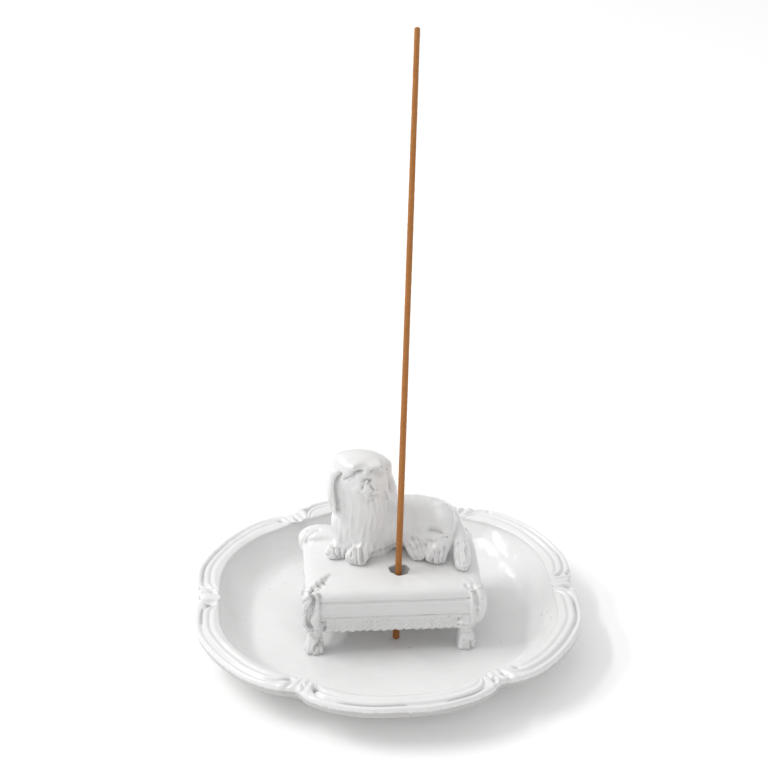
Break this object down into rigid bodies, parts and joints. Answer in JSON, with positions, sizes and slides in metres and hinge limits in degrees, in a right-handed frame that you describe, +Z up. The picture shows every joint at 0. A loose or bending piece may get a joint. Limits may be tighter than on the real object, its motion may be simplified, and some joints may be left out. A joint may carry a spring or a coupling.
{
  "type": "incense holder",
  "caption": "White glazed lobed dish with a paw-footed, tasselled footstool on which a long-eared lap dog lies, bored to hold an incense stick upright.",
  "frame": {"origin": "middle of the dish's flat base, on the table", "axes": "+Z up along the height, +X to the right and +Y to the back as the dog faces the viewer, with the footstool's long side along X"},
  "size_m": [0.1392, 0.1452, 0.2252],
  "materials": {
    "glaze": "glossy white glaze, thin and grey on worn edges",
    "incense": "matt pressed powder"
  },
  "bodies": {
    "holder": {"dish": "glaze", "seat": "glaze", "foot_front_left": "glaze", "foot_front_right": "glaze", "foot_back_left": "glaze", "foot_back_right": "glaze", "tassel_front_left": "glaze", "tassel_front_right": "glaze", "tassel_back_left": "glaze", "tassel_back_right": "glaze", "fringe_front": "glaze", "fringe_back": "glaze", "fringe_left": "glaze", "fringe_right": "glaze", "dog_head": "glaze", "dog_ear_left": "glaze", "dog_ear_right": "glaze", "dog_foreleg_left": "glaze", "dog_foreleg_right": "glaze", "dog_chest": "glaze", "dog_tail": "glaze", "dog_hind_leg": "glaze", "dog_belly_tuft": "glaze", "dog_body": "glaze"},
    "stick": {"incense_stick": "incense"}
  },
  "joints": [
    {"name": "stick_slide", "type": "slide", "parent": "holder", "child": "stick", "axis": [0.0344, 0.0871, 0.9956], "range_m": [0, 0.08]}
  ]
}
